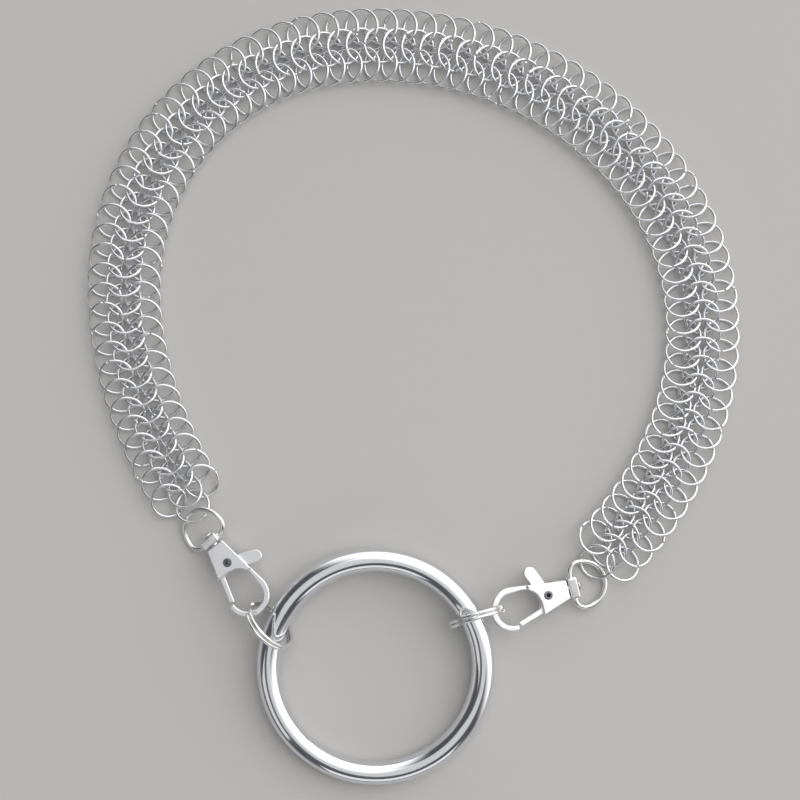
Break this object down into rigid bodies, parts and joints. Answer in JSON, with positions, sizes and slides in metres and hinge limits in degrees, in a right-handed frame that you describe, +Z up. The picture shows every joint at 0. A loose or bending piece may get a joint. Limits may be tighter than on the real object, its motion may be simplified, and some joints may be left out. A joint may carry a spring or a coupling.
{
  "type": "choker",
  "caption": "Choker of ring mail laid flat: a wide band of interlocking links, closed at the front by a large ring with a trigger clasp on each side.",
  "frame": {"origin": "under the middle of the box around the choker, on the surface that it lies on", "axes": "+Z up from that surface, +Y towards the back of the neck, +X to the right as the picture shows it"},
  "size_m": [0.1711, 0.2031, 0.015],
  "materials": {
    "links": "bright drawn stainless steel wire",
    "front_ring": "mirror-bright plating",
    "split_rings": "bright nickel plating",
    "clasps": "bright nickel plating over a smooth casting"
  },
  "bodies": {
    "choker": {"mail_band": "links", "o_ring": "front_ring", "left_split_ring": "split_rings", "right_split_ring": "split_rings", "left_d_loop": "clasps", "right_d_loop": "clasps"},
    "left_clasp": {"left_clasp_body": "clasps", "left_clasp_rivet": "clasps"},
    "left_lever": {"left_clasp_lever": "clasps"},
    "right_clasp": {"right_clasp_body": "clasps", "right_clasp_rivet": "clasps"},
    "right_lever": {"right_clasp_lever": "clasps"}
  },
  "joints": [
    {"name": "left_swivel", "type": "hinge", "parent": "choker", "child": "left_clasp", "pos_m": [-0.05152, -0.03899, 0.00387], "axis": [0.6161, -0.7829, 0.0872], "range_deg": [-15, 15]},
    {"name": "left_gate", "type": "hinge", "parent": "left_clasp", "child": "left_lever", "pos_m": [-0.04807, -0.04337, 0.00436], "axis": [-0.0539, 0.0685, 0.9962], "range_deg": [0, 22], "stiffness_Nm_per_rad": 0.01, "springref_deg": -17.19},
    {"name": "right_swivel", "type": "hinge", "parent": "choker", "child": "right_clasp", "pos_m": [0.04013, -0.05048, 0.00265], "axis": [-0.9534, -0.2501, 0.1685], "range_deg": [-15, 15]},
    {"name": "right_gate", "type": "hinge", "parent": "right_clasp", "child": "right_lever", "pos_m": [0.03479, -0.05188, 0.00359], "axis": [-0.163, -0.0428, -0.9857], "range_deg": [0, 22], "stiffness_Nm_per_rad": 0.01, "springref_deg": -17.19}
  ]
}
